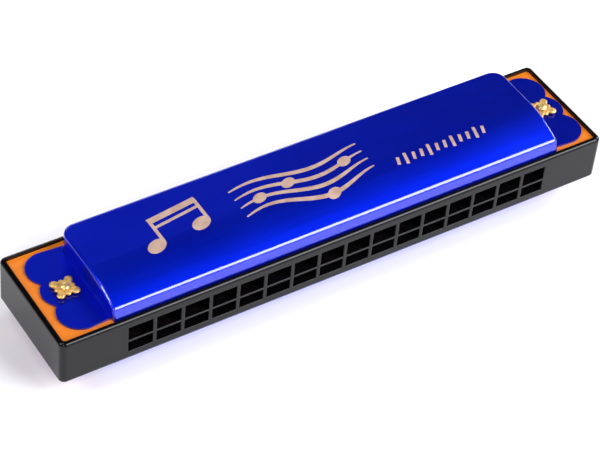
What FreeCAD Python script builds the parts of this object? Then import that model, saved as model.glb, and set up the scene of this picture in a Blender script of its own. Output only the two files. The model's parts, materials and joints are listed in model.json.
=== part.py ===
import FreeCAD, Part
import math
import os
import re

import Sketcher

# Double-row tremolo harmonica. +X runs along the instrument, from the low notes to the high
# ones, -Y is the mouth side and +Z is up. The origin is the middle of the footprint, on the
# surface that the lower cover's flat back rests on. Lengths are millimetres.

DIMENSIONS = {
    # comb: the moulded body
    "comb_length": 130.0,
    "comb_width": 27.0,
    "comb_height": 11.0,
    "comb_corner": 1.3,
    "comb_edge": 0.8,
    "rim_width": 1.0,
    "recess_corner": 0.7,
    "ledge_width": 2.0,
    "plate_drop": 0.6,
    # mouth holes and reed chambers
    "column_count": 16,
    "column_pitch": 6.33,
    "hole_width": 5.45,
    "hole_reach": 3.35,
    "hole_edge": 0.18,
    "middle_wall": 0.5,
    "middle_wall_drop": 0.4,
    "chamber_end": 0.5,
    # reed plates
    "plate_thickness": 1.0,
    "plate_gap": 0.1,
    "slot_side_gap": 0.1,
    "slot_tip_gap": 0.15,
    # reeds
    "reed_long": 16.0,
    "reed_step": 0.4,
    "reed_width": 1.9,
    "reed_thickness": 0.2,
    "blow_tip": -9.0,
    "draw_root": -8.2,
    "pad_length": 2.2,
    "pad_width": 2.4,
    "pad_thickness": 0.4,
    "rivet_radius": 0.45,
    "rivet_head_radius": 0.75,
    "rivet_head_height": 0.25,
    # covers: pressed sheet
    "cover_length": 106.9,
    "cover_shift": 0.7,
    "cover_rise": 4.8,
    "sheet": 0.4,
    "lip_foot": 12.3,
    "bend_reach": 11.5,
    "bend_height": 2.85,
    "bend_radius": 1.1,
    "crown_start": -1.0,
    "cover_back": 11.3,
    "back_corner": 3.0,
    "cover_edge": 0.6,
    "fold_radius": 0.3,
    "window_margin": 5.0,
    "window_height": 4.3,
    # end tabs of the covers
    "tab_root": 1.4,
    "tab_neck": 10.8,
    "outer_lobe_reach": 58.1,
    "outer_lobe_side": 6.6,
    "outer_lobe_radius": 4.65,
    "middle_lobe_reach": 58.4,
    "middle_lobe_radius": 4.4,
    # cover nails and their flower washers
    "cover_nail_reach": 57.9,
    "cover_nail_radius": 0.6,
    "cover_nail_length": 4.6,
    "cover_nail_head": 1.15,
    "cover_nail_dome": 0.75,
    "nail_hole_gap": 0.1,
    "washer_half": 1.6,
    "washer_petal_place": 1.65,
    "washer_petal_radius": 0.85,
    "washer_bump_place": 1.7,
    "washer_bump_radius": 0.55,
    "washer_thickness": 0.35,
    "washer_foot_radius": 1.25,
    "washer_foot_height": 0.4,
    # small nails along the back edge of each plate
    "plate_nail_pitch": 22.0,
    "plate_nail_line": 10.6,
    "plate_nail_radius": 0.4,
    "plate_nail_length": 3.6,
    "plate_nail_head": 0.75,
    "plate_nail_dome": 0.3,
}
COLUMNS = int(DIMENSIONS["column_count"])
PLATE_NAILS = 5
SIDES = {"upper": 1, "lower": -1}
TOLERANCE = 1e-4

document = FreeCAD.newDocument("harmonica")
dims = document.addObject("Spreadsheet::Sheet", "dims")
for row, (alias, number) in enumerate(DIMENSIONS.items(), start=1):
    dims.set(f"A{row}", alias)
    dims.set(f"B{row}", str(number))
    dims.setAlias(f"B{row}", alias)
document.recompute()


def cells(formula):
    """The formula with every alias written as a reference to its cell."""
    def cell(word):
        name = word.group()
        return f"dims.{name}" if name in DIMENSIONS else name
    return re.sub(r"[a-z_]+", cell, str(formula))


def value(formula):
    """The formula's number, for a sketch's first guess and for finding edges."""
    return float(dims.evalExpression(cells(formula)))


def bind(item, **formulas):
    """Bind properties of an object to formulas of the sheet."""
    for name, formula in formulas.items():
        item.setExpression(name, cells(formula))


def place(item, x="0", y="0", z="0"):
    """Bind an object's position to formulas of the sheet."""
    for axis, formula in zip("xyz", (x, y, z)):
        item.setExpression(f"Placement.Base.{axis}", cells(formula))


# ---------------------------------------------------------------- heights in the stack

PLATE_INNER = "(comb_height / 2 - plate_drop - plate_thickness)"
PLATE_OUTER = "(comb_height / 2 - plate_drop)"
MIDDLE = "(cover_rise + comb_height / 2)"
# faces of the wall between the two rows, measured from the comb's middle plane
WALL_TOP = "(middle_wall / 2 - middle_wall_drop)"
WALL_BOTTOM = "(-middle_wall / 2 - middle_wall_drop)"
COVER_NAILS_X = {"left": "cover_shift - cover_nail_reach",
                 "right": "cover_shift + cover_nail_reach"}


def level(side, offset):
    """Height of a plane that lies offset outwards of the comb's middle plane."""
    return f"{MIDDLE} + {side} * ({offset})"


def lowest(side, offset, thickness):
    """Height of the bottom of a layer that starts at offset and grows outwards."""
    return level(side, offset) if side > 0 else f"{level(side, offset)} - ({thickness})"


# ---------------------------------------------------------------- columns and reeds

def column_x(column):
    return f"(({column} - (column_count - 1) / 2) * column_pitch)"


def reed_length(column):
    return f"(reed_long - {column} * reed_step)"


def is_blow(column):
    """Blow and draw notes take turns along the comb, starting with a blow note."""
    return column % 2 == 0


def reed_root(column):
    """Where the tongue leaves its fixed pad: at the back for blow, at the front for draw."""
    return f"(blow_tip + {reed_length(column)})" if is_blow(column) else "draw_root"


def reed_span(column):
    """Front and back end of the tongue."""
    if is_blow(column):
        return "blow_tip", reed_root(column)
    return "draw_root", f"(draw_root + {reed_length(column)})"


def slot_span(column):
    """Front and back end of the slot: longer than the tongue at its free end."""
    front, back = reed_span(column)
    if is_blow(column):
        return f"({front} - slot_tip_gap)", back
    return front, f"({back} + slot_tip_gap)"


def pad_front(column):
    """Front end of the fixed pad."""
    return reed_root(column) if is_blow(column) else "(draw_root - pad_length)"


def rivet_y(column):
    return f"({pad_front(column)} + pad_length / 2)"


# ---------------------------------------------------------------- sketches

def origin_feature(body, role):
    for feature in body.Origin.OriginFeatures:
        if feature.Role == role:
            return feature
    raise ValueError(role)


def new_sketch(body, name, plane="XY_Plane", offset="0"):
    """A sketch on one of the body's own origin planes, moved along its normal."""
    sketch = body.newObject("Sketcher::SketchObject", name)
    sketch.AttachmentSupport = [(origin_feature(body, plane), "")]
    sketch.MapMode = "FlatFace"
    sketch.setExpression("AttachmentOffset.Base.z", cells(offset))
    return sketch


def constrain(sketch, kind, *where, formula=None):
    """Add a constraint, bound to a formula if it has a size."""
    if formula is None:
        sketch.addConstraint(Sketcher.Constraint(kind, *where))
        return
    index = sketch.addConstraint(Sketcher.Constraint(kind, *where, value(formula)))
    sketch.setExpression(f"Constraints[{index}]", cells(formula))


def fix_point(sketch, geometry, point, x=None, y=None):
    """Hold a point at formulas of the sheet; zero puts it on the sketch's own axis."""
    for kind, axis, formula in (("DistanceX", -2, x), ("DistanceY", -1, y)):
        if formula == "0":
            constrain(sketch, "PointOnObject", geometry, point, axis)
        elif formula is not None:
            constrain(sketch, kind, -1, 1, geometry, point, formula=formula)


def line(sketch, start, end):
    points = [FreeCAD.Vector(value(x), value(y), 0) for x, y in (start, end)]
    return sketch.addGeometry(Part.LineSegment(*points))


def arc(sketch, centre, start, end):
    """Arc that turns anticlockwise from start to end."""
    cx, cy = (value(part) for part in centre)
    ends = [(value(x) - cx, value(y) - cy) for x, y in (start, end)]
    angles = [math.atan2(y, x) for x, y in ends]
    if angles[1] < angles[0]:
        angles[1] += 2 * math.pi
    axis = FreeCAD.Vector(0, 0, 1)
    circle = Part.Circle(FreeCAD.Vector(cx, cy, 0), axis, math.hypot(*ends[0]))
    return sketch.addGeometry(Part.ArcOfCircle(circle, *angles))


def add_circle(sketch, x, y, radius):
    axis = FreeCAD.Vector(0, 0, 1)
    centre = FreeCAD.Vector(value(x), value(y), 0)
    index = sketch.addGeometry(Part.Circle(centre, axis, value(radius)))
    fix_point(sketch, index, 3, x, y)
    constrain(sketch, "Radius", index, formula=radius)


def add_rectangle(sketch, left, right, low, high):
    corners = [(left, low), (right, low), (right, high), (left, high)]
    sides = [line(sketch, corners[i], corners[(i + 1) % 4]) for i in range(4)]
    for i, side in enumerate(sides):
        constrain(sketch, "Coincident", side, 2, sides[(i + 1) % 4], 1)
        constrain(sketch, "Horizontal" if i % 2 == 0 else "Vertical", side)
    fix_point(sketch, sides[0], 1, left, low)
    fix_point(sketch, sides[2], 1, right, high)


def add_round_rectangle(sketch, half_length, half_width, radius):
    """Rectangle about the sketch's origin with equal round corners."""
    a, b, r = f"({half_length})", f"({half_width})", f"({radius})"
    sides = []
    corners = []
    for sx, sy, lengthwise in ((1, -1, True), (1, 1, False), (-1, 1, True), (-1, -1, False)):
        centre = (f"{sx} * ({a} - {r})", f"{sy} * ({b} - {r})")
        on_end = (f"{sx} * {a}", centre[1])
        on_side = (centre[0], f"{sy} * {b}")
        if lengthwise:
            sides.append(line(sketch, (f"-{sx} * ({a} - {r})", on_side[1]), on_side))
            corners.append(arc(sketch, centre, on_side, on_end))
        else:
            sides.append(line(sketch, (on_end[0], f"-{sy} * ({b} - {r})"), on_end))
            corners.append(arc(sketch, centre, on_end, on_side))
    for i, (side, corner) in enumerate(zip(sides, corners)):
        constrain(sketch, "Tangent", side, 2, corner, 1)
        constrain(sketch, "Tangent", corner, 2, sides[(i + 1) % 4], 1)
        constrain(sketch, "Horizontal" if i % 2 == 0 else "Vertical", side)
    for corner in corners[1:]:
        constrain(sketch, "Equal", corners[0], corner)
    constrain(sketch, "Radius", corners[0], formula=radius)
    fix_point(sketch, sides[0], 1, f"-({a} - {r})", f"-{b}")
    fix_point(sketch, sides[2], 1, f"{a} - {r}", b)


# ---------------------------------------------------------------- features

def new_body(label):
    body = document.addObject("PartDesign::Body", label)
    body.Label = label
    return body


def finish_feature(body, feature, change):
    """Recompute and check that the feature added (+1) or removed (-1) material."""
    before = 0.0 if body.Shape.isNull() else body.Shape.Volume
    body.Tip = feature
    document.recompute()
    if change * (body.Shape.Volume - before) <= 0:
        raise ValueError(f"{body.Label}: {feature.Name} changed nothing")
    return feature


def pad(body, sketch, length, symmetric=False):
    feature = body.newObject("PartDesign::Pad", f"{sketch.Name}_pad")
    feature.Profile = sketch
    feature.SideType = "Symmetric" if symmetric else "One side"
    bind(feature, Length=length)
    return finish_feature(body, feature, 1)


def pocket(body, sketch, depth, reverse=False):
    """Cut against the sketch's normal, or along it."""
    feature = body.newObject("PartDesign::Pocket", f"{sketch.Name}_pocket")
    feature.Profile = sketch
    feature.Reversed = reverse
    bind(feature, Length=depth)
    return finish_feature(body, feature, -1)


def mirror(body, features, plane, change):
    feature = body.newObject("PartDesign::Mirrored", f"{features[-1].Name}_mirrored")
    feature.Originals = features
    feature.MirrorPlane = (origin_feature(body, plane), [""])
    return finish_feature(body, feature, change)


def row_of(body, features, pitch, count, change):
    """Repeat features along +X."""
    feature = body.newObject("PartDesign::LinearPattern", f"{features[-1].Name}_row")
    feature.Originals = features
    feature.Direction = (origin_feature(body, "X_Axis"), [""])
    bind(feature, Length=f"{pitch} * ({count} - 1)", Occurrences=count)
    return finish_feature(body, feature, change)


def ring_of(body, features, count, change):
    """Repeat features about the body's own Z axis."""
    feature = body.newObject("PartDesign::PolarPattern", f"{features[-1].Name}_ring")
    feature.Originals = features
    feature.Axis = (origin_feature(body, "Z_Axis"), [""])
    feature.Angle = 360
    feature.Occurrences = count
    return finish_feature(body, feature, change)


def round_edges(body, name, radius, wanted, change=-1):
    """Fillet the edges that the wanted test picks out; an inside corner gains material."""
    edges = [f"Edge{i}" for i, edge in enumerate(body.Shape.Edges, start=1) if wanted(edge)]
    if not edges:
        raise ValueError(f"{body.Label}: no edges for {name}")
    base = body.Tip
    feature = body.newObject("PartDesign::Fillet", name)
    feature.Base = (base, edges)
    bind(feature, Radius=radius)
    return finish_feature(body, feature, change)


def near(first, second):
    return abs(first - second) < TOLERANCE


def lies_on(edge, **planes):
    """Whether the whole edge lies in planes such as Z=5.3."""
    points = edge.discretize(5)
    return all(near(getattr(point, axis.lower()), place_)
               for axis, place_ in planes.items() for point in points)


# ---------------------------------------------------------------- comb

def make_comb():
    """Moulded body: rim, recess for each plate, chambers, mouth holes and nail holes."""
    body = new_body("comb")
    outline = new_sketch(body, "comb_outline")
    add_round_rectangle(outline, "comb_length / 2", "comb_width / 2", "comb_corner")
    pad(body, outline, "comb_height", symmetric=True)
    half_height = value("comb_height / 2")
    round_edges(body, "comb_rim_edges", "comb_edge",
                lambda edge: lies_on(edge, Z=half_height) or lies_on(edge, Z=-half_height))

    recess = new_sketch(body, "comb_recess", offset="comb_height / 2")
    add_round_rectangle(recess, "comb_length / 2 - rim_width", "comb_width / 2 - rim_width",
                        "recess_corner")
    cuts = [pocket(body, recess, "plate_drop + plate_thickness")]

    nail_holes = new_sketch(body, "comb_nail_holes", offset=PLATE_INNER)
    for x in COVER_NAILS_X.values():
        add_circle(nail_holes, x, "0", "cover_nail_radius")
    depth = "cover_nail_length - sheet - plate_thickness"
    cuts.append(pocket(body, nail_holes, depth))

    pin_holes = new_sketch(body, "comb_pin_holes", offset=PLATE_INNER)
    for index in range(PLATE_NAILS):
        add_circle(pin_holes, plate_nail_x(index), "plate_nail_line", "plate_nail_radius")
    cuts.append(pocket(body, pin_holes, "plate_nail_length - plate_thickness"))
    mirror(body, cuts, "XY_Plane", -1)
    cut_chambers(body, "upper", PLATE_INNER, f"{PLATE_INNER} - {WALL_TOP}")
    cut_chambers(body, "lower", f"-{PLATE_INNER}", f"{PLATE_INNER} + {WALL_BOTTOM}",
                 reverse=True)

    mouth = new_sketch(body, "comb_mouth", plane="XZ_Plane", offset="comb_width / 2")
    for low, high in ((WALL_TOP, "hole_reach"), ("-hole_reach", WALL_BOTTOM)):
        add_rectangle(mouth, f"{column_x(0)} - hole_width / 2",
                      f"{column_x(0)} + hole_width / 2", low, high)
    holes = pocket(body, mouth, "rim_width + ledge_width")
    row_of(body, [holes], "column_pitch", "column_count", -1)
    front = value("-comb_width / 2")
    reach = value("column_count * column_pitch / 2")
    round_edges(body, "comb_hole_edges", "hole_edge",
                lambda edge: lies_on(edge, Y=front) and abs(edge.CenterOfMass.x) < reach
                and edge.Length < value("column_pitch"))
    place(body, z=MIDDLE)
    return body


def cut_chambers(body, name, offset, depth, reverse=False):
    """One chamber behind each mouth hole, from the plate's seat to the wall between the rows."""
    chambers = new_sketch(body, f"comb_{name}_chambers", offset=offset)
    for column in range(COLUMNS):
        back = f"blow_tip + {reed_length(column)} + pad_length + chamber_end"
        add_rectangle(chambers, f"{column_x(column)} - hole_width / 2",
                      f"{column_x(column)} + hole_width / 2",
                      "rim_width + ledge_width - comb_width / 2", back)
    pocket(body, chambers, depth, reverse)


# ---------------------------------------------------------------- reed plates

def plate_nail_x(index):
    """Place of one of the nails along the back edge, counted from the low-note end."""
    return f"({index - PLATE_NAILS // 2} * plate_nail_pitch)"


def make_plate(label, side):
    """Sheet with one slot, one rivet hole for each reed and its nail holes."""
    body = new_body(label)
    outline = new_sketch(body, f"{label}_outline")
    add_round_rectangle(outline, "comb_length / 2 - rim_width - plate_gap",
                        "comb_width / 2 - rim_width - plate_gap",
                        "recess_corner - plate_gap")
    pad(body, outline, "plate_thickness")
    slots = new_sketch(body, f"{label}_slots", offset="plate_thickness")
    half_slot = "(reed_width / 2 + slot_side_gap)"
    for column in range(COLUMNS):
        front, back = slot_span(column)
        add_rectangle(slots, f"{column_x(column)} - {half_slot}",
                      f"{column_x(column)} + {half_slot}", front, back)
        add_circle(slots, column_x(column), rivet_y(column), "rivet_radius")
    for x in COVER_NAILS_X.values():
        add_circle(slots, x, "0", "cover_nail_radius + nail_hole_gap")
    for index in range(PLATE_NAILS):
        add_circle(slots, plate_nail_x(index), "plate_nail_line", "plate_nail_radius")
    pocket(body, slots, "plate_thickness")
    place(body, z=lowest(side, PLATE_INNER, "plate_thickness"))
    return body


# ---------------------------------------------------------------- reeds

def make_reed(label, side, column):
    """Free tongue over its slot, on the chamber side for blow and the cover side for draw."""
    tongue = document.addObject("Part::Box", label)
    tongue.Label = label
    front, back = reed_span(column)
    offset = f"{PLATE_INNER} - reed_thickness" if is_blow(column) else PLATE_OUTER
    bind(tongue, Length="reed_width", Width=reed_length(column), Height="reed_thickness")
    place(tongue, f"{column_x(column)} - reed_width / 2", front,
          lowest(side, offset, "reed_thickness"))
    return tongue


def make_reed_pad(label, side, column):
    """Fixed end of one reed, with its rivet hole."""
    offset = f"{PLATE_INNER} - pad_thickness" if is_blow(column) else PLATE_OUTER
    bottom = lowest(side, offset, "pad_thickness")
    block = document.addObject("Part::Box", f"{label}_block")
    bind(block, Length="pad_width", Width="pad_length", Height="pad_thickness")
    place(block, f"{column_x(column)} - pad_width / 2", pad_front(column), bottom)
    hole = disc(f"{label}_hole", "rivet_radius", "pad_thickness", column_x(column),
                rivet_y(column), bottom)
    cut = document.addObject("Part::Cut", label)
    cut.Base = block
    cut.Tool = hole
    return cut


def disc(name, radius, height, x, y, z):
    """Upright cylinder with its bottom centre at x, y, z."""
    item = document.addObject("Part::Cylinder", name)
    bind(item, Radius=radius, Height=height)
    place(item, x, y, z)
    return item


def make_rivet(label, side, column):
    """Shank through plate and pad, with a head at each end."""
    if is_blow(column):
        start, end = f"{PLATE_INNER} - pad_thickness", PLATE_OUTER
    else:
        start, end = PLATE_INNER, f"{PLATE_OUTER} + pad_thickness"
    layers = (("shank", "rivet_radius", start, "plate_thickness + pad_thickness"),
              ("inner_head", "rivet_head_radius", f"{start} - rivet_head_height",
               "rivet_head_height"),
              ("outer_head", "rivet_head_radius", end, "rivet_head_height"))
    rivet = document.addObject("Part::MultiFuse", label)
    rivet.Shapes = [disc(f"{label}_{name}", radius, height, column_x(column),
                         rivet_y(column), lowest(side, offset, height))
                    for name, radius, offset, height in layers]
    return rivet


def group(label, pieces):
    """One node that holds identical separate solids."""
    compound = document.addObject("Part::Compound", label)
    compound.Label = label
    compound.Links = pieces
    return compound


# ---------------------------------------------------------------- covers

def make_cover(label, side):
    """Pressed sheet cover, modelled with its foot on the plate and its back upwards."""
    body = new_body(label)
    crown = "(cover_rise + plate_drop)"
    foot, bend = ("-lip_foot", "0"), ("-bend_reach", "bend_height")
    start, back = ("crown_start", crown), ("cover_back", crown)
    run, drop = "(bend_reach + crown_start)", f"({crown} - bend_height)"
    radius = f"(({run} ^ 2 + {drop} ^ 2) / (2 * {drop}))"
    section = new_sketch(body, f"{label}_section", plane="YZ_Plane")
    lip = line(section, foot, bend)
    arch = arc(section, ("crown_start", f"{crown} - {radius}"), start, bend)
    top = line(section, start, back)
    rear = line(section, back, ("cover_back", "0"))
    base = line(section, ("cover_back", "0"), foot)
    constrain(section, "Coincident", lip, 2, arch, 2)
    constrain(section, "Tangent", arch, 1, top, 1)
    constrain(section, "Coincident", top, 2, rear, 1)
    constrain(section, "Coincident", rear, 2, base, 1)
    constrain(section, "Coincident", base, 2, lip, 1)
    constrain(section, "Horizontal", top)
    constrain(section, "Vertical", rear)
    constrain(section, "Horizontal", base)
    fix_point(section, lip, 1, *foot)
    fix_point(section, lip, 2, *bend)
    fix_point(section, top, 1, *start)
    fix_point(section, top, 2, x="cover_back")
    pad(body, section, "cover_length", symmetric=True)

    end, back_y = value("cover_length / 2"), value("cover_back")
    round_edges(body, f"{label}_back_corners", "back_corner",
                lambda edge: lies_on(edge, Y=back_y)
                and near(abs(edge.CenterOfMass.x), end))
    bend_y, bend_z = value("-bend_reach"), value("bend_height")
    round_edges(body, f"{label}_front_bend", "bend_radius",
                lambda edge: lies_on(edge, Y=bend_y, Z=bend_z))
    round_edges(body, f"{label}_pressed_edges", "cover_edge",
                lambda edge: is_pressed_edge(edge, end, value(crown)))

    block = body.Tip
    bottom = [f"Face{i}" for i, face in enumerate(body.Shape.Faces, start=1)
              if near(face.BoundBox.ZMax, 0)]
    shell = body.newObject("PartDesign::Thickness", f"{label}_sheet")
    shell.Base = (block, bottom)
    shell.Mode = "Skin"
    shell.Join = "Intersection"
    shell.Reversed = True
    bind(shell, Value="sheet")
    finish_feature(body, shell, -1)

    window = new_sketch(body, f"{label}_window", plane="XZ_Plane")
    add_window(window)
    pocket(body, window, "cover_back")

    tab = new_sketch(body, f"{label}_tab")
    add_tab_outline(tab)
    mirror(body, [pad(body, tab, "sheet")], "YZ_Plane", 1)
    sheet = value("sheet")
    round_edges(body, f"{label}_tab_folds", "fold_radius",
                lambda edge: lies_on(edge, Z=sheet) and near(abs(edge.CenterOfMass.x), end),
                change=1)
    if side < 0:
        body.Placement.Rotation = FreeCAD.Rotation(FreeCAD.Vector(0, 1, 0), 180)
    place(body, x="cover_shift", z=level(side, PLATE_OUTER))
    return body


def is_pressed_edge(edge, end, crown):
    """Edges where the top and the front lip meet the end walls and the back wall."""
    low, high = edge.BoundBox.ZMin, edge.BoundBox.ZMax
    on_end = near(edge.BoundBox.XMin, edge.BoundBox.XMax) and near(abs(edge.BoundBox.XMax), end)
    on_back = lies_on(edge, Z=crown) and edge.BoundBox.YMax > value("cover_back - back_corner")
    rises = high > TOLERANCE and not (near(low, 0) and edge.BoundBox.YMax > 0)
    return (on_end and rises) or on_back


def add_window(sketch):
    """Long sound opening in the back wall, from the plate up to the folded back edge."""
    half = "cover_length / 2 - window_margin"
    add_rectangle(sketch, f"-({half})", half, "-sheet", "window_height")


def add_tab_outline(sketch):
    """Three-lobed end tab on the low-note end, with its nail hole."""
    root = "(tab_root - cover_length / 2)"
    reach, side, radius = "outer_lobe_reach", "outer_lobe_side", "outer_lobe_radius"
    mid, mid_radius = "middle_lobe_reach", "middle_lobe_radius"
    # the cusp is where the outer and the middle circle cross
    gap = f"(({reach} - {mid}) ^ 2 + {side} ^ 2)"
    along = f"(({gap} + {radius} ^ 2 - {mid_radius} ^ 2) / (2 * {gap}))"
    across = f"(sqrt({radius} ^ 2 / {gap} - {along} ^ 2))"
    cusp_x = f"(-{reach} + {along} * ({reach} - {mid}) - {across} * {side})"
    cusp_y = f"({side} - {along} * {side} - {across} * ({reach} - {mid}))"
    back_top = (f"-{reach}", f"{side} + {radius}")
    front_top = (f"-{reach}", f"-({side} + {radius})")
    back_lobe = arc(sketch, (f"-{reach}", side), back_top, (cusp_x, cusp_y))
    middle = arc(sketch, (f"-{mid}", "0"), (cusp_x, cusp_y), (cusp_x, f"-{cusp_y}"))
    front_lobe = arc(sketch, (f"-{reach}", f"-{side}"), (cusp_x, f"-{cusp_y}"), front_top)
    front_neck = line(sketch, front_top, (root, "-tab_neck"))
    fold = line(sketch, (root, "-tab_neck"), (root, "tab_neck"))
    back_neck = line(sketch, (root, "tab_neck"), back_top)
    chain = [back_lobe, middle, front_lobe, front_neck, fold, back_neck]
    for first, second in zip(chain, chain[1:] + chain[:1]):
        constrain(sketch, "Coincident", first, 2, second, 1)
    for lobe, centre_x, centre_y, lobe_radius in (
            (back_lobe, reach, side, radius),
            (middle, mid, "0", mid_radius),
            (front_lobe, reach, f"-{side}", radius)):
        fix_point(sketch, lobe, 3, f"-{centre_x}", centre_y)
        constrain(sketch, "Radius", lobe, formula=lobe_radius)
    fix_point(sketch, back_lobe, 1, x=f"-{reach}")
    fix_point(sketch, front_lobe, 2, x=f"-{reach}")
    fix_point(sketch, fold, 1, root, "-tab_neck")
    fix_point(sketch, fold, 2, root, "tab_neck")
    add_circle(sketch, "-cover_nail_reach", "0", "cover_nail_radius + nail_hole_gap")


# ---------------------------------------------------------------- nails and washers

def make_nail(label, radius, length, head, dome):
    """Domed head on its seat at z = 0, pointed shank below it."""
    body = new_body(label)
    profile = new_sketch(body, f"{label}_profile", plane="XZ_Plane")
    centre = f"(({dome} ^ 2 - {head} ^ 2) / (2 * {dome}))"
    tip, shoulder = ("0", f"-{length}"), (radius, f"{radius} - {length}")
    seat, rim, crown = (radius, "0"), (head, "0"), ("0", dome)
    point = line(profile, tip, shoulder)
    shank = line(profile, shoulder, seat)
    under = line(profile, seat, rim)
    round_top = arc(profile, ("0", centre), rim, crown)
    axis = line(profile, crown, tip)
    chain = [point, shank, under, round_top, axis]
    for first, second in zip(chain, chain[1:] + chain[:1]):
        constrain(profile, "Coincident", first, 2, second, 1)
    constrain(profile, "Vertical", shank)
    fix_point(profile, round_top, 3, x="0")
    fix_point(profile, point, 1, *tip)
    fix_point(profile, shank, 1, *shoulder)
    fix_point(profile, under, 1, y="0")
    fix_point(profile, under, 2, *rim)
    fix_point(profile, axis, 1, *crown)
    turned = body.newObject("PartDesign::Revolution", f"{label}_turned")
    turned.Profile = profile
    turned.ReferenceAxis = (profile, ["V_Axis"])
    turned.Angle = 360
    finish_feature(body, turned, 1)
    return body


def make_washer(label):
    """Square flower with corner petals and side bumps, raised on a cupped centre."""
    body = new_body(label)
    foot = new_sketch(body, f"{label}_foot")
    add_circle(foot, "0", "0", "washer_foot_radius")
    pad(body, foot, "washer_foot_height")
    square = new_sketch(body, f"{label}_square", offset="washer_foot_height")
    add_rectangle(square, "-washer_half", "washer_half", "-washer_half", "washer_half")
    pad(body, square, "washer_thickness")
    petal = new_sketch(body, f"{label}_petal", offset="washer_foot_height")
    add_circle(petal, "washer_petal_place", "washer_petal_place", "washer_petal_radius")
    bump = new_sketch(body, f"{label}_bump", offset="washer_foot_height")
    add_circle(bump, "washer_bump_place", "0", "washer_bump_radius")
    petals = [pad(body, petal, "washer_thickness"), pad(body, bump, "washer_thickness")]
    ring_of(body, petals, 4, 1)
    bore = new_sketch(body, f"{label}_bore", offset="washer_foot_height + washer_thickness")
    add_circle(bore, "0", "0", "cover_nail_radius + nail_hole_gap")
    pocket(body, bore, "washer_foot_height + washer_thickness")
    return body


def set_on(body, side, x, y, offset):
    """Stand a nail or washer on a layer of the stack, upside down on the lower side."""
    if side < 0:
        body.Placement.Rotation = FreeCAD.Rotation(FreeCAD.Vector(0, 1, 0), 180)
    place(body, x, y, level(side, offset))
    return body


# ---------------------------------------------------------------- assembly

def make_side(name, side):
    """Everything on one side of the comb: plate, reeds, cover and fasteners."""
    nodes = [make_plate(f"{name}_reed_plate", side)]
    columns = range(COLUMNS)
    numbers = [f"{column + 1:02d}" for column in columns]
    nodes += [make_reed(f"{name}_reed_{numbers[column]}", side, column) for column in columns]
    nodes.append(group(f"{name}_reed_pads", [
        make_reed_pad(f"{name}_pad_{numbers[column]}", side, column) for column in columns]))
    nodes.append(group(f"{name}_reed_rivets", [
        make_rivet(f"{name}_rivet_{numbers[column]}", side, column) for column in columns]))
    nodes.append(make_cover(f"{name}_cover", side))

    tab_top = f"{PLATE_OUTER} + sheet"
    washer_top = f"{tab_top} + washer_foot_height + washer_thickness"
    washers = []
    nails = []
    for end, x in COVER_NAILS_X.items():
        washers.append(set_on(make_washer(f"{name}_washer_{end}"), side, x, "0", tab_top))
        nail = make_nail(f"{name}_nail_{end}", "cover_nail_radius",
                         "(cover_nail_length + washer_foot_height + washer_thickness)",
                         "cover_nail_head", "cover_nail_dome")
        nails.append(set_on(nail, side, x, "0", washer_top))
    nodes.append(group(f"{name}_cover_washers", washers))
    nodes.append(group(f"{name}_cover_nails", nails))

    pins = []
    for index in range(PLATE_NAILS):
        pin = make_nail(f"{name}_plate_nail_{index + 1}", "plate_nail_radius",
                        "plate_nail_length", "plate_nail_head", "plate_nail_dome")
        pins.append(set_on(pin, side, plate_nail_x(index), "plate_nail_line", PLATE_OUTER))
    nodes.append(group(f"{name}_plate_nails", pins))
    return nodes


def check(nodes):
    """Stop if any object failed or any node's shape is empty or broken."""
    for item in document.Objects:
        if {"Invalid", "Error"} & set(item.State):
            raise ValueError(f"{item.Label} failed: {item.State}")
    for node in nodes:
        if node.Shape.isNull() or not node.Shape.isValid():
            raise ValueError(f"{node.Label} has no valid shape")


def main():
    nodes = [make_comb()]
    for name, side in SIDES.items():
        nodes += make_side(name, side)
    document.recompute()
    check(nodes)
    os.makedirs("parts", exist_ok=True)
    for node in nodes:
        node.Shape.exportStep(f"parts/{node.Label}.step")
        print(f"{node.Label}: {len(node.Shape.Solids)} solids, {node.Shape.Volume:.2f} mm3")


main()
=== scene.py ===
import json
import math

import bpy
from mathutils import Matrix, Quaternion, Vector
from mathutils.bvhtree import BVHTree


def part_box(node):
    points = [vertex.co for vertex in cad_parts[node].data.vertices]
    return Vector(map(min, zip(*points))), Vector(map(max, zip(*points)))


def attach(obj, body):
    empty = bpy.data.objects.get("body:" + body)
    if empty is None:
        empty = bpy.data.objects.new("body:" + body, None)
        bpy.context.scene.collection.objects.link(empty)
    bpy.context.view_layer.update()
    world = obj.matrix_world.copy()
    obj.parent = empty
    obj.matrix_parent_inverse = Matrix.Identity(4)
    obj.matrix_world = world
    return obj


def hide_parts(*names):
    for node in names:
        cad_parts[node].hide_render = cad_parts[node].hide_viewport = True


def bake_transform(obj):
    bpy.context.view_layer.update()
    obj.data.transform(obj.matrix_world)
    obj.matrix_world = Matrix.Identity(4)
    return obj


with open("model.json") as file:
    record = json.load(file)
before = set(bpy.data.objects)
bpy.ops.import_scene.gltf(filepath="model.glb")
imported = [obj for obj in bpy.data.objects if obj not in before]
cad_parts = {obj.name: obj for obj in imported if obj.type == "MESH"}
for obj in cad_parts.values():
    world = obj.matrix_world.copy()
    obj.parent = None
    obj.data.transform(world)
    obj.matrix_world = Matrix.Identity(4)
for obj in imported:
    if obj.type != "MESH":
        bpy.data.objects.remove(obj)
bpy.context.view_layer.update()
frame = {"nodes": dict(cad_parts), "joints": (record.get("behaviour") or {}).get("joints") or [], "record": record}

MM = 0.001

# ---------------------------------------------------------------- places read from the frame

cover_low, cover_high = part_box("upper_cover")
COVER_MIDDLE = (cover_low.x + cover_high.x) / 2
COMB_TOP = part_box("comb")[1].z

# ---------------------------------------------------------------- camera and light

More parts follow.
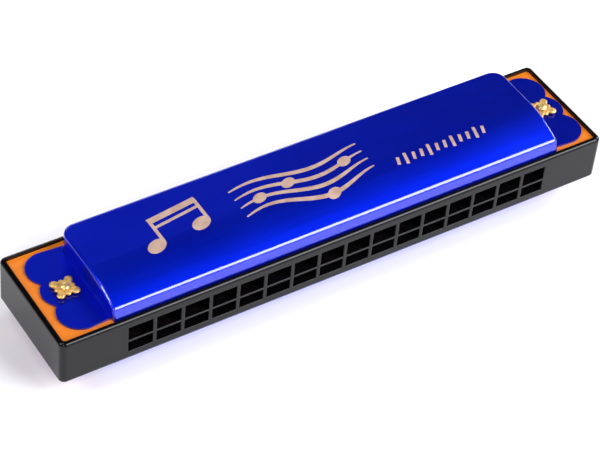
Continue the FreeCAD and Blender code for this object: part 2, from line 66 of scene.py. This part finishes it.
CAMERA_AIM = Vector((-6.83, -6.21, 0)) * MM + Vector((0, 0, COMB_TOP))
CAMERA_AZIMUTH = math.radians(-35.79)
CAMERA_ELEVATION = math.radians(44.19)
CAMERA_ROLL = math.radians(5.85)
CAMERA_DISTANCE = 0.4675
SENSOR_WIDTH = 36.0
LENS = 138.16
NEAREST, FARTHEST = 0.01, 20

LIGHT_DISTANCE = 1.1
LILAC = (0.97, 0.96, 1.0)
HORIZON = (0.022, 0.020, 0.028)
ZENITH = (0.006, 0.006, 0.009)

FLOOR_HALF = 3.0
FLOOR_DROP = 0.03 * MM


def make_camera():
    data = bpy.data.cameras.new("camera")
    data.sensor_width = SENSOR_WIDTH
    data.lens = LENS
    data.clip_start = NEAREST
    data.clip_end = FARTHEST
    camera = bpy.data.objects.new("camera", data)
    flat = math.cos(CAMERA_ELEVATION)
    back = Vector((math.sin(CAMERA_AZIMUTH) * flat, -math.cos(CAMERA_AZIMUTH) * flat,
                   math.sin(CAMERA_ELEVATION)))
    camera.location = CAMERA_AIM + back * CAMERA_DISTANCE
    camera.rotation_mode = "QUATERNION"
    turn = Quaternion((0, 0, 1), CAMERA_ROLL)
    camera.rotation_quaternion = (-back).to_track_quat("-Z", "Y") @ turn
    bpy.context.scene.collection.objects.link(camera)
    bpy.context.scene.camera = camera


def make_softbox(name, direction, width, height, radiance):
    """A lilac rectangle that faces the object from the given direction."""
    data = bpy.data.lights.new(name, "AREA")
    data.shape = "RECTANGLE"
    data.size = width
    data.size_y = height
    data.energy = radiance * math.pi * width * height
    data.color = LILAC
    light = bpy.data.objects.new(name, data)
    light.location = Vector(direction).normalized() * LIGHT_DISTANCE
    light.rotation_mode = "QUATERNION"
    light.rotation_quaternion = (-light.location).to_track_quat("-Z", "Y")
    bpy.context.scene.collection.objects.link(light)


def make_lights():
    """A large key light on the mouth side, four smaller lights around, a weak fill at the front left."""
    make_softbox("key", (0.42, -0.62, 0.61), width=0.66, height=0.73, radiance=10.6)
    make_softbox("top", (-0.25, 0.10, 0.96), width=0.5, height=0.4, radiance=3.0)
    make_softbox("right", (0.93, 0.05, 0.50), width=0.4, height=0.5, radiance=9.5)
    make_softbox("back", (0.25, 0.82, 0.50), width=0.5, height=0.3, radiance=2.9)
    make_softbox("left", (-0.72, 0.14, 0.66), width=0.28, height=0.42, radiance=13)
    make_softbox("fill", (-0.55, -0.66, 0.52), width=0.5, height=0.5, radiance=5)


def make_world():
    """A nearly black surround, slightly lighter at the horizon."""
    world = bpy.data.worlds.new("studio")
    world.use_nodes = True
    bpy.context.scene.world = world
    nodes, links = world.node_tree.nodes, world.node_tree.links
    background = nodes["Background"]
    coords = nodes.new("ShaderNodeTexCoord")
    split = nodes.new("ShaderNodeSeparateXYZ")
    links.new(coords.outputs["Generated"], split.inputs[0])
    shade = two_colors(nodes, links, split.outputs["Z"], HORIZON, ZENITH, start=0.0, end=1.0)
    links.new(shade, background.inputs["Color"])
    background.inputs["Strength"].default_value = 1.0


def make_stage():
    mesh = bpy.data.meshes.new("floor")
    corners = [(x * FLOOR_HALF, y * FLOOR_HALF, -FLOOR_DROP)
               for x, y in ((-1, -1), (1, -1), (1, 1), (-1, 1))]
    mesh.from_pydata(corners, [], [(0, 1, 2, 3)])
    floor = bpy.data.objects.new("floor", mesh)
    bpy.context.scene.collection.objects.link(floor)
    return floor


# ---------------------------------------------------------------- material helpers

def new_material(name, color, roughness, metallic=0.0):
    material = bpy.data.materials.new(name)
    material.use_nodes = True
    shader = material.node_tree.nodes["Principled BSDF"]
    shader.inputs["Base Color"].default_value = (*color, 1)
    shader.inputs["Roughness"].default_value = roughness
    shader.inputs["Metallic"].default_value = metallic
    return material, material.node_tree.nodes, material.node_tree.links, shader


def stretched_coords(nodes, links, scale):
    coords = nodes.new("ShaderNodeTexCoord")
    mapping = nodes.new("ShaderNodeMapping")
    mapping.inputs["Scale"].default_value = scale
    links.new(coords.outputs["Object"], mapping.inputs["Vector"])
    return mapping.outputs["Vector"]


def noise(nodes, links, scale, detail=3.0, rough=0.5):
    """Noise whose cells are 1 / scale metres long along X, Y and Z."""
    texture = nodes.new("ShaderNodeTexNoise")
    texture.inputs["Scale"].default_value = 1.0
    texture.inputs["Detail"].default_value = detail
    texture.inputs["Roughness"].default_value = rough
    links.new(stretched_coords(nodes, links, scale), texture.inputs["Vector"])
    return texture.outputs["Fac"]


def value_range(nodes, links, source, low, high, start=0.3, end=0.7):
    """Values from low to high while the source goes from start to end."""
    node = nodes.new("ShaderNodeMapRange")
    node.inputs["From Min"].default_value = start
    node.inputs["From Max"].default_value = end
    node.inputs["To Min"].default_value = low
    node.inputs["To Max"].default_value = high
    links.new(source, node.inputs["Value"])
    return node.outputs["Result"]


def two_colors(nodes, links, source, first, second, start=0.35, end=0.65):
    ramp = nodes.new("ShaderNodeValToRGB")
    ramp.color_ramp.elements[0].position = start
    ramp.color_ramp.elements[0].color = (*first, 1)
    ramp.color_ramp.elements[1].position = end
    ramp.color_ramp.elements[1].color = (*second, 1)
    links.new(source, ramp.inputs[0])
    return ramp.outputs[0]


def add_bump(nodes, links, shader, height, strength, distance):
    bump = nodes.new("ShaderNodeBump")
    bump.inputs["Strength"].default_value = strength
    bump.inputs["Distance"].default_value = distance
    links.new(height, bump.inputs["Height"])
    links.new(bump.outputs["Normal"], shader.inputs["Normal"])


# ---------------------------------------------------------------- materials

def blue_metal():
    """Anodised sheet, brushed along its length, under a clear gloss."""
    material, nodes, links, shader = new_material("blue_anodised", (0.001, 0.018, 0.72), 0.45, 1.0)
    streaks = noise(nodes, links, (60, 9000, 9000), detail=3, rough=0.6)
    clouds = noise(nodes, links, (40, 90, 90), detail=3)
    links.new(value_range(nodes, links, streaks, 0.40, 0.50), shader.inputs["Roughness"])
    links.new(two_colors(nodes, links, clouds, (0.0005, 0.015, 0.68), (0.0015, 0.021, 0.76)),
              shader.inputs["Base Color"])
    shader.inputs["Coat Weight"].default_value = 1.0
    shader.inputs["Coat IOR"].default_value = 1.75
    links.new(value_range(nodes, links, streaks, 0.03, 0.06), shader.inputs["Coat Roughness"])
    add_bump(nodes, links, shader, streaks, strength=0.05, distance=0.01 * MM)
    return material


def black_plastic():
    """Glossy moulding with a faint grain."""
    material, nodes, links, shader = new_material("black_plastic", (0.002, 0.002, 0.0025), 0.16)
    grain = noise(nodes, links, (700, 700, 700), detail=4)
    links.new(value_range(nodes, links, grain, 0.13, 0.20), shader.inputs["Roughness"])
    links.new(two_colors(nodes, links, grain, (0.0015, 0.0015, 0.002), (0.003, 0.003, 0.0035)),
              shader.inputs["Base Color"])
    shader.inputs["Specular IOR Level"].default_value = 0.27
    add_bump(nodes, links, shader, grain, strength=0.04, distance=0.02 * MM)
    return material


def orange_sheet():
    material, nodes, links, shader = new_material("orange_sheet", (0.63, 0.163, 0.005), 0.42)
    grain = noise(nodes, links, (60, 900, 900), detail=4)
    links.new(two_colors(nodes, links, grain, (0.60, 0.153, 0.004), (0.66, 0.173, 0.007)),
              shader.inputs["Base Color"])
    links.new(value_range(nodes, links, grain, 0.36, 0.48), shader.inputs["Roughness"])
    return material


def brass(name, color, roughness, metallic=1.0):
    material, nodes, links, shader = new_material(name, color, roughness, metallic)
    grain = noise(nodes, links, (900, 900, 900), detail=4)
    darker = tuple(part * 0.8 for part in color)
    links.new(two_colors(nodes, links, grain, darker, color), shader.inputs["Base Color"])
    links.new(value_range(nodes, links, grain, roughness * 0.8, roughness * 1.3),
              shader.inputs["Roughness"])
    return material


def matte_gold():
    """Blasted brass of the washers."""
    material, nodes, links, shader = new_material("matte_gold", (0.72, 0.44, 0.13), 0.42, 0.55)
    grain = noise(nodes, links, (1500, 1500, 1500), detail=5)
    links.new(two_colors(nodes, links, grain, (0.60, 0.35, 0.09), (0.82, 0.52, 0.17)),
              shader.inputs["Base Color"])
    links.new(value_range(nodes, links, grain, 0.34, 0.50), shader.inputs["Roughness"])
    add_bump(nodes, links, shader, grain, strength=0.15, distance=0.03 * MM)
    return material


def printed_gold():
    material, nodes, links, shader = new_material("printed_gold", (0.50, 0.34, 0.26), 0.5, 0.3)
    grain = noise(nodes, links, (500, 500, 500), detail=4)
    links.new(two_colors(nodes, links, grain, (0.46, 0.30, 0.22), (0.54, 0.38, 0.30)),
              shader.inputs["Base Color"])
    links.new(value_range(nodes, links, grain, 0.42, 0.58), shader.inputs["Roughness"])
    return material


def pale_floor():
    material, nodes, links, shader = new_material("pale_floor", (0.93, 0.93, 0.93), 0.7)
    shader.inputs["Specular IOR Level"].default_value = 0.1
    mottle = noise(nodes, links, (8, 8, 8))
    links.new(two_colors(nodes, links, mottle, (0.92, 0.92, 0.92), (0.94, 0.94, 0.94)),
              shader.inputs["Base Color"])
    return material


def assign(item, material):
    item.data.materials.clear()
    item.data.materials.append(material)


# ---------------------------------------------------------------- mesh helpers

def new_piece(name, verts, faces, material, smooth=True):
    mesh = bpy.data.meshes.new(name)
    mesh.from_pydata(verts, [], faces)
    mesh.validate()
    mesh.update()
    if smooth:
        mesh.shade_smooth()
    mesh.materials.append(material)
    piece = bpy.data.objects.new(name, mesh)
    bpy.context.scene.collection.objects.link(piece)
    return piece


def joined(parts):
    """One mesh of several (vertices, faces) pairs."""
    verts, faces = [], []
    for some_verts, some_faces in parts:
        start = len(verts)
        verts += some_verts
        faces += [tuple(start + index for index in face) for face in some_faces]
    return verts, faces


def full_turn(count):
    return [2 * math.pi * j / count for j in range(count)]


def closed_rings(rings):
    """A torus of rings: each ring is a list of points, and the last ring joins the first."""
    count = len(rings[0])
    verts = [point for ring in rings for point in ring]
    faces = []
    for i in range(len(rings)):
        a, b = i * count, (i + 1) % len(rings) * count
        for j in range(count):
            k = (j + 1) % count
            faces.append((a + j, b + j, b + k, a + k))
    return verts, faces


def band(rows, around):
    """Quads between rows of points that each go once around."""
    faces = []
    for i in range(rows - 1):
        a, b = i * around, (i + 1) * around
        for j in range(around):
            k = (j + 1) % around
            faces.append((a + j, a + k, b + k, b + j))
    return faces


def lathe(x, y, seat, up, profile, around=48):
    """Solid of revolution; the profile starts and ends on the axis."""
    middle = profile[1:-1]
    verts = [(x + radius * MM * math.cos(angle), y + radius * MM * math.sin(angle),
              seat + up * height * MM) for radius, height in middle for angle in full_turn(around)]
    faces = band(len(middle), around)
    start, end = len(verts), len(verts) + 1
    verts.append((x, y, seat + up * profile[0][1] * MM))
    verts.append((x, y, seat + up * profile[-1][1] * MM))
    last = (len(middle) - 1) * around
    for j in range(around):
        k = (j + 1) % around
        faces.append((start, k, j))
        faces.append((end, last + j, last + k))
    if up < 0:
        faces = [face[::-1] for face in faces]
    return verts, faces


def island_boxes(node):
    """Lowest and highest corner of each separate solid of a node, in order along X."""
    mesh = frame["nodes"][node].data
    owner = list(range(len(mesh.vertices)))

    def root(index):
        while owner[index] != index:
            owner[index] = owner[owner[index]]
            index = owner[index]
        return index

    seen = {}
    for vertex in mesh.vertices:
        key = tuple(round(part * 1e6) for part in vertex.co)
        owner[vertex.index] = seen.setdefault(key, vertex.index)
    for edge in mesh.edges:
        a, b = root(edge.vertices[0]), root(edge.vertices[1])
        owner[a] = b
    groups = {}
    for vertex in mesh.vertices:
        groups.setdefault(root(vertex.index), []).append(vertex.co)
    boxes = []
    for points in groups.values():
        low = Vector([min(p[i] for p in points) for i in range(3)])
        high = Vector([max(p[i] for p in points) for i in range(3)])
        boxes.append((low, high))
    boxes.sort(key=lambda pair: pair[0].x)
    return boxes


# ---------------------------------------------------------------- flower washers

# Millimetres. A petal or bump is a rounded finger: (distance of its middle, radius).
PETAL = (2.33, 0.85)
BUMP = (1.72, 0.52)
CORE_RADIUS = 1.9
BORE_RADIUS = 0.7
FOOT_RADIUS = 1.25
FOOT_HEIGHT = 0.4
WASHER_THICKNESS = 0.35
GROOVE_RADIUS, GROOVE_WIDTH, GROOVE_DEPTH = 1.28, 0.14, 0.09
SWELL_HEIGHT = 0.10
ROLL_START, ROLL_DEPTH = 0.72, 0.26
DISH_START, DISH_SLOPE = 1.6, 0.10
LIP_BULGE, LIP_DROP, LIP_THICKNESS = 0.02, 0.08, 0.20
UNDERSIDE_STEP = 0.02
WASHER_AROUND = 144
WASHER_SHARES = (0.0, 0.12, 0.22, 0.30, 0.38, 0.48, 0.58, 0.68, 0.78, 0.86, 0.92, 0.96, 0.985, 1.0)


def capsule_exit(offset, distance, radius):
    """How far a ray from the centre runs inside a rounded finger that points offset away."""
    if math.cos(offset) <= 0:
        return 0.0
    across = distance * abs(math.sin(offset))
    if across < radius:
        return distance * math.cos(offset) + math.sqrt(radius ** 2 - across ** 2)
    return radius / abs(math.sin(offset))


def flower_reach(angle):
    """Outline of the washer: four corner petals, four small side bumps."""
    reach = CORE_RADIUS
    for quarter in range(4):
        side = quarter * math.pi / 2
        reach = max(reach, capsule_exit(angle - side - math.pi / 4, *PETAL))
        reach = max(reach, capsule_exit(angle - side, *BUMP))
    return reach


def flower_height(radius, reach):
    """Height of the top face: a groove round the nail, swollen petals with rolled edges."""
    past_groove = min(1.0, max(0.0, (radius - GROOVE_RADIUS) / (reach - GROOVE_RADIUS)))
    past_roll = max(0.0, (radius / reach - ROLL_START) / (1 - ROLL_START))
    groove = -GROOVE_DEPTH * math.exp(-((radius - GROOVE_RADIUS) / GROOVE_WIDTH) ** 2)
    swell = SWELL_HEIGHT * math.sin(math.pi * past_groove)
    roll = -ROLL_DEPTH * past_roll ** 2
    dish = DISH_SLOPE * max(0.0, radius - DISH_START)
    return FOOT_HEIGHT + WASHER_THICKNESS + groove + swell + roll + dish


def make_flower(x, y, seat, up):
    """One washer, from its foot on the tab at height seat, growing in the direction up."""
    angles = full_turn(WASHER_AROUND)
    reaches = [flower_reach(angle) for angle in angles]
    edge = [flower_height(reach, reach) for reach in reaches]

    def ring(radii, heights):
        return [(x + radius * MM * math.cos(angle), y + radius * MM * math.sin(angle),
                 seat + up * height * MM) for radius, height, angle in zip(radii, heights, angles)]

    def round_ring(radius, height):
        return ring([radius] * WASHER_AROUND, [height] * WASHER_AROUND)

    rings = []
    for share in WASHER_SHARES:
        radii = [BORE_RADIUS + (reach - BORE_RADIUS) * share for reach in reaches]
        rings.append(ring(radii, [flower_height(r, reach) for r, reach in zip(radii, reaches)]))
    rings.append(ring([reach + LIP_BULGE for reach in reaches],
                      [height - LIP_DROP for height in edge]))
    rings.append(ring(reaches, [height - LIP_THICKNESS for height in edge]))
    halfway = [(FOOT_RADIUS + reach) / 2 for reach in reaches]
    rings.append(ring(halfway, [FOOT_HEIGHT - UNDERSIDE_STEP] * WASHER_AROUND))
    rings.append(round_ring(FOOT_RADIUS, FOOT_HEIGHT - 2 * UNDERSIDE_STEP))
    rings.append(round_ring(FOOT_RADIUS, 0.0))
    rings.append(round_ring(BORE_RADIUS, 0.0))
    if up < 0:
        rings.reverse()
    return closed_rings(rings)


def make_washers(side, up, metal):
    parts = []
    for low, high in island_boxes(f"{side}_cover_washers"):
        middle = (low + high) / 2
        seat = low.z if up > 0 else high.z
        parts.append(make_flower(middle.x, middle.y, seat, up))
    piece = new_piece(f"{side}_flowers", *joined(parts), metal)
    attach(piece, "root")
    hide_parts(f"{side}_cover_washers")


# ---------------------------------------------------------------- nails

# Millimetres: radius of the shank, radius of the head, height of the head.
COVER_NAIL = (0.6, 1.15, 0.75)
PLATE_NAIL = (0.4, 0.75, 0.3)
NECK_LENGTH, NECK_FLARE, NECK_TOP = 0.12, 0.03, 0.02
BRIM = 0.05
DOME_STEPS, DOME_FULLNESS = 14, 0.9


def nail_profile(radius, head, dome, length):
    """From the point of the shank up to the middle of the domed head."""
    points = [(0, -length), (radius * 0.3, radius * 0.25 - length), (radius, radius - length),
              (radius, -NECK_LENGTH), (radius + NECK_FLARE, -NECK_TOP),
              (head - BRIM, -NECK_TOP / 2), (head, BRIM)]
    for i in range(1, DOME_STEPS):
        angle = i / DOME_STEPS * math.pi / 2
        points.append((head * math.cos(angle) ** DOME_FULLNESS,
                       BRIM + (dome - BRIM) * math.sin(angle)))
    points.append((0, dome))
    return points


def make_nails(node, up, metal, radius, head, dome):
    parts = []
    for low, high in island_boxes(node):
        middle = (low + high) / 2
        length = (high.z - low.z) / MM - dome
        seat = high.z - dome * MM if up > 0 else low.z + dome * MM
        parts.append(lathe(middle.x, middle.y, seat, up, nail_profile(radius, head, dome, length)))
    piece = new_piece(f"{node}_turned", *joined(parts), metal)
    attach(piece, "root")
    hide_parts(node)


def make_fasteners(nail_metal, washer_metal):
    for side, up in (("upper", 1), ("lower", -1)):
        make_washers(side, up, washer_metal)
        make_nails(f"{side}_cover_nails", up, nail_metal, *COVER_NAIL)
        make_nails(f"{side}_plate_nails", up, nail_metal, *PLATE_NAIL)


# ---------------------------------------------------------------- reeds

REED_STEPS = 16
REED_TAPER = 0.06
REED_SCRAPE, SCRAPE_SPEED = 0.45, 1.1
REED_EDGE = 0.08 * MM
TIP_TRIM = 0.12 * MM


def reed_section(half_width, half_thickness):
    """Eight points round a strip with softened edges, as (x, z)."""
    flat = half_width - REED_EDGE
    shape = [(-half_width, 0.5), (-flat, 1), (flat, 1), (half_width, 0.5),
             (half_width, -0.5), (flat, -1), (-flat, -1), (-half_width, -0.5)]
    return [(x, z * half_thickness) for x, z in shape]


def make_reed(body, joint, metal):
    """A straight tongue from its root, narrowing towards its tip and scraped thin in the middle."""
    low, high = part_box(body)
    middle = (low + high) / 2
    half = (high - low) / 2
    root = joint["pos_m"][1]
    tip = high.y if abs(root - low.y) < abs(root - high.y) else low.y
    verts = []
    for i in range(REED_STEPS + 1):
        share = i / REED_STEPS
        width = half.x * (1 - REED_TAPER * share) - (TIP_TRIM if i == REED_STEPS else 0)
        scraped = 1 - REED_SCRAPE * math.sin(math.pi * min(1, share * SCRAPE_SPEED)) ** 2
        verts += [(middle.x + x, root + (tip - root) * share, middle.z + z)
                  for x, z in reed_section(width, half.z * scraped)]
    around = len(verts) // (REED_STEPS + 1)
    faces = band(REED_STEPS + 1, around)
    faces.append(tuple(reversed(range(around))))
    faces.append(tuple(REED_STEPS * around + j for j in range(around)))
    if tip > root:
        faces = [face[::-1] for face in faces]
    piece = new_piece(f"{body}_tongue", verts, faces, metal, smooth=False)
    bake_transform(piece)
    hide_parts(body)


def make_reeds(metal):
    for joint in frame["joints"]:
        make_reed(joint["child"], joint, metal)


# ---------------------------------------------------------------- printed ornament

# Heights of the print over the cover, in millimetres: sunk foot, edge and middle of a ribbon.
PRINT_FOOT, PRINT_EDGE, PRINT_RIDGE = -0.04, 0.012, 0.016
BLOB_RINGS = ((1.0, PRINT_FOOT), (1.0, PRINT_EDGE), (0.66, 0.014), (0.33, 0.015))
BLOB_AROUND = 40
RAY_HEIGHT = 10 * MM

# Notes: middles and radii of the heads, the stems from a head's middle, and the beams as
# (distance below the stems' tops, length past the stems, half width).
HEAD_TILT = math.radians(24)
NOTE_HEADS = ((-38.6, -2.2), (-27.6, -0.6))
HEAD_RADII, SMALL_HEAD_RADII = (2.3, 1.55), (1.75, 1.2)
STEM_SIDE, STEM_LOW, STEM_HIGH, STEM_HALF = 1.85, 0.6, 6.6, 0.38
BEAMS = ((0.0, 0.35, 0.75), (2.0, -0.05, 0.35))

# Stave: its lines wave less from one row to the next; small heads as (share of the length, row).
STAVE_START, STAVE_LENGTH, STAVE_HALF, STAVE_TAPER = -18.5, 31.0, 0.52, 0.7
STAVE_LOW, STAVE_GAP, STAVE_ROWS = -3.7, 2.6, 4
WAVE_HEIGHT, WAVE_LOSS, WAVE_COUNT, WAVE_PHASE = 1.5, 0.15, 1.15, 0.05
SMALL_HEADS = ((0.16, 1), (0.40, 2), (0.63, 0), (0.84, 2))

BAR_COUNT, BAR_START, BAR_GAP, BAR_MIDDLE = 12, 17.8, 1.95, -3.4
BAR_TALL, BAR_SHORT, BAR_LEAN, BAR_HALF = 1.45, 0.95, 0.3, 0.36


class Print:
    """Very thin inlay on top of the upper cover, drawn in millimetres seen from above."""

    def __init__(self):
        cover = frame["nodes"]["upper_cover"].data
        points = [vertex.co.copy() for vertex in cover.vertices]
        polygons = [tuple(polygon.vertices) for polygon in cover.polygons]
        self.tree = BVHTree.FromPolygons(points, polygons)
        self.parts = []

    def on_cover(self, x, y, lift):
        """The point of the cover under (x, y), raised by lift."""
        start = Vector((COVER_MIDDLE + x * MM, y * MM, cover_high.z + RAY_HEIGHT))
        hit = self.tree.ray_cast(start, Vector((0, 0, -1)))[0]
        return (start.x, start.y, hit.z + lift * MM)

    def ribbon(self, line):
        """A ribbon given as (x, y, half width) points."""
        section = ((1, PRINT_FOOT), (1, PRINT_EDGE), (0, PRINT_RIDGE), (-1, PRINT_EDGE),
                   (-1, PRINT_FOOT))
        count = len(section)
        verts, faces = [], []
        for i, (x, y, half) in enumerate(line):
            before, after = line[max(0, i - 1)], line[min(len(line) - 1, i + 1)]
            along = Vector((after[0] - before[0], after[1] - before[1]))
            along.normalize()
            across = Vector((-along.y, along.x)) * half
            verts += [self.on_cover(x + across.x * share, y + across.y * share, lift)
                      for share, lift in section]
        for i in range(len(line) - 1):
            a, b = count * i, count * (i + 1)
            faces += [(a + j, b + j, b + j + 1, a + j + 1) for j in range(count - 1)]
            faces.append((a + count - 1, b + count - 1, b, a))
        faces.append(tuple(range(count)))
        faces.append(tuple(reversed(range(count * (len(line) - 1), count * len(line)))))
        self.parts.append((verts, faces))

    def blob(self, x, y, long_radius, short_radius):
        """A filled, tilted ellipse."""
        verts = []
        for share, lift in BLOB_RINGS:
            for angle in full_turn(BLOB_AROUND):
                px, py = long_radius * share * math.cos(angle), short_radius * share * math.sin(angle)
                verts.append(self.on_cover(x + px * math.cos(HEAD_TILT) - py * math.sin(HEAD_TILT),
                                           y + px * math.sin(HEAD_TILT) + py * math.cos(HEAD_TILT),
                                           lift))
        faces = band(len(BLOB_RINGS), BLOB_AROUND)
        faces.append(tuple((len(BLOB_RINGS) - 1) * BLOB_AROUND + j for j in range(BLOB_AROUND)))
        faces.append(tuple(reversed(range(BLOB_AROUND))))
        self.parts.append((verts, faces))

    def curve(self, path, half, steps, taper=0.0):
        """A ribbon along path(share), thinner towards its ends by taper."""
        line = []
        for i in range(steps + 1):
            share = i / steps
            swell = 1 - taper * (2 * share - 1) ** 2
            line.append((*path(share), half * swell))
        self.ribbon(line)

    def bar(self, start, end, half, steps):
        """A straight ribbon."""
        self.curve(lambda share: (start[0] + (end[0] - start[0]) * share,
                                  start[1] + (end[1] - start[1]) * share), half, steps)


def draw_notes(ink):
    """Two joined notes at the low-note end."""
    for x, y in NOTE_HEADS:
        ink.blob(x, y, *HEAD_RADII)
    tops = []
    for x, y in NOTE_HEADS:
        stem = x + STEM_SIDE
        ink.bar((stem, y + STEM_LOW), (stem, y + STEM_HIGH), STEM_HALF, steps=12)
        tops.append((stem, y + STEM_HIGH))
    for drop, overhang, half in BEAMS:
        ink.bar((tops[0][0] - overhang, tops[0][1] - drop), (tops[1][0] + overhang, tops[1][1] - drop),
                half, steps=24)


def stave_point(share, row):
    height = WAVE_HEIGHT - WAVE_LOSS * row
    wave = height * math.sin(2 * math.pi * (share * WAVE_COUNT + WAVE_PHASE))
    return STAVE_START + STAVE_LENGTH * share, STAVE_LOW + STAVE_GAP * row + wave


def draw_stave(ink):
    """Four flowing lines in the middle, with a note head on some of them."""
    for row in range(STAVE_ROWS):
        ink.curve(lambda share, row=row: stave_point(share, row), STAVE_HALF, steps=90,
                  taper=STAVE_TAPER)
    for share, row in SMALL_HEADS:
        ink.blob(*stave_point(share, row), *SMALL_HEAD_RADII)


def draw_bars(ink):
    """A row of small leaning bars towards the high-note end, every third one taller."""
    for index in range(BAR_COUNT):
        x = BAR_START + index * BAR_GAP
        tall = BAR_TALL if index % 3 == 1 else BAR_SHORT
        ink.bar((x - BAR_LEAN, BAR_MIDDLE - tall), (x + BAR_LEAN, BAR_MIDDLE + tall), BAR_HALF,
                steps=6)


def make_ornament(material):
    ink = Print()
    draw_notes(ink)
    draw_stave(ink)
    draw_bars(ink)
    piece = new_piece("cover_ornament", *joined(ink.parts), material, smooth=False)
    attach(piece, "root")


# ---------------------------------------------------------------- making

def main():
    bpy.context.scene.view_settings.view_transform = "Standard"
    make_camera()
    make_world()
    make_lights()
    assign(make_stage(), pale_floor())

    polished = brass("polished_brass", (0.95, 0.66, 0.24), 0.3, metallic=0.7)
    drawn = brass("reed_brass", (0.72, 0.50, 0.2), 0.3)
    slots = {"comb": black_plastic(), "reed_plate": orange_sheet(), "cover": blue_metal(),
             "reed_brass": drawn, "fastener": polished}
    for part in frame["record"]["subparts"]:
        assign(frame["nodes"][part["node"]], slots[part["material_slot"]])
    make_fasteners(polished, matte_gold())
    make_reeds(drawn)
    make_ornament(printed_gold())


main()
